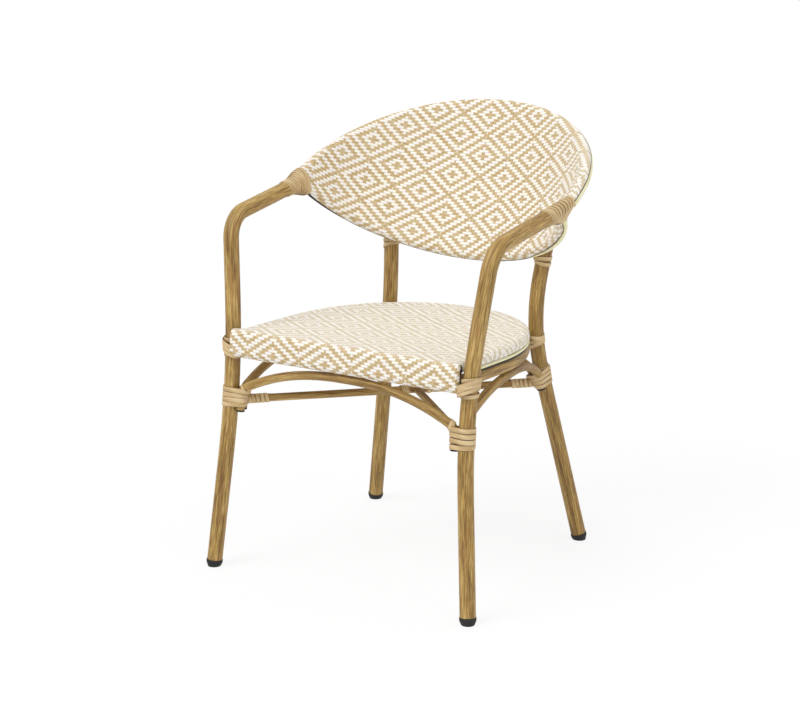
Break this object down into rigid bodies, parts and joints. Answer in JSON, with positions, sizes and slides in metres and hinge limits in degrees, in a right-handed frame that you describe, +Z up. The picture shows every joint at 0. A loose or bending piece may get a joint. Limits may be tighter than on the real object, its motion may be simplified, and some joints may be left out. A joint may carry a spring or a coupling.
{
  "type": "rattan bistro chair",
  "caption": "Bistro armchair: bent cane-look tube frame, arches and crossed stretchers under a woven sling seat, and a woven barrel back.",
  "frame": {"origin": "on the floor, under the middle of the chair's outline", "axes": "+Z up, the chair faces -Y, +X to its left arm as it is sat in"},
  "size_m": [0.6002, 0.6008, 0.8073],
  "materials": {
    "cane_look_tube": "satin, painted to look like rattan cane",
    "binding_strip": "matt beige strip",
    "woven_textilene": "woven, white and tan diamonds",
    "cream_piping": "smooth pale yellow cord",
    "black_plastic": "matt black",
    "foot_rubber": "matt black"
  },
  "bodies": {
    "root": {"front_leg_and_arm_right": "cane_look_tube", "foot_cap_front_right": "foot_rubber", "rear_leg_right": "cane_look_tube", "foot_cap_rear_right": "foot_rubber", "front_leg_and_arm_left": "cane_look_tube", "foot_cap_front_left": "foot_rubber", "rear_leg_left": "cane_look_tube", "foot_cap_rear_left": "foot_rubber", "rear_leg_plug_right": "black_plastic", "rear_leg_plug_left": "black_plastic", "seat_base_hoop": "cane_look_tube", "seat_sling_hoop": "cane_look_tube", "seat_base_front_bar": "cane_look_tube", "seat_sling_front_bar": "cane_look_tube", "seat_bar_plug_right": "black_plastic", "seat_bar_plug_left": "black_plastic", "seat_sling": "woven_textilene", "seat_piping": "cream_piping", "front_arch": "cane_look_tube", "front_arch_plug_front_left": "black_plastic", "front_arch_plug_front_right": "black_plastic", "right_arch": "cane_look_tube", "right_arch_plug_front_right": "black_plastic", "right_arch_plug_rear_right": "black_plastic", "left_arch": "cane_look_tube", "left_arch_plug_rear_left": "black_plastic", "left_arch_plug_front_left": "black_plastic", "rear_arch": "cane_look_tube", "stretcher_through": "cane_look_tube", "stretcher_near_half": "cane_look_tube", "stretcher_far_half": "cane_look_tube", "back_upper_rim": "cane_look_tube", "back_lower_rim": "cane_look_tube", "back_sling": "woven_textilene", "back_rim_nose_right": "cane_look_tube", "arm_end_plug_right": "black_plastic", "back_rim_nose_left": "cane_look_tube", "arm_end_plug_left": "black_plastic", "back_piping_upper": "cream_piping", "back_piping_lower": "cream_piping", "seat_spacer_right": "black_plastic", "back_spacer_right": "black_plastic", "seat_spacer_left": "black_plastic", "back_spacer_left": "black_plastic", "lower_binding_front_right": "binding_strip", "seat_binding_front_right": "binding_strip", "arm_binding_right": "binding_strip", "lower_binding_rear_right": "binding_strip", "seat_binding_rear_right": "binding_strip", "post_binding_right": "binding_strip", "lower_binding_front_left": "binding_strip", "seat_binding_front_left": "binding_strip", "arm_binding_left": "binding_strip", "lower_binding_rear_left": "binding_strip", "seat_binding_rear_left": "binding_strip", "post_binding_left": "binding_strip", "stretcher_binding_front": "binding_strip", "stretcher_binding_near_middle": "binding_strip", "stretcher_binding_far_middle": "binding_strip", "stretcher_binding_rear": "binding_strip"}
  },
  "joints": []
}
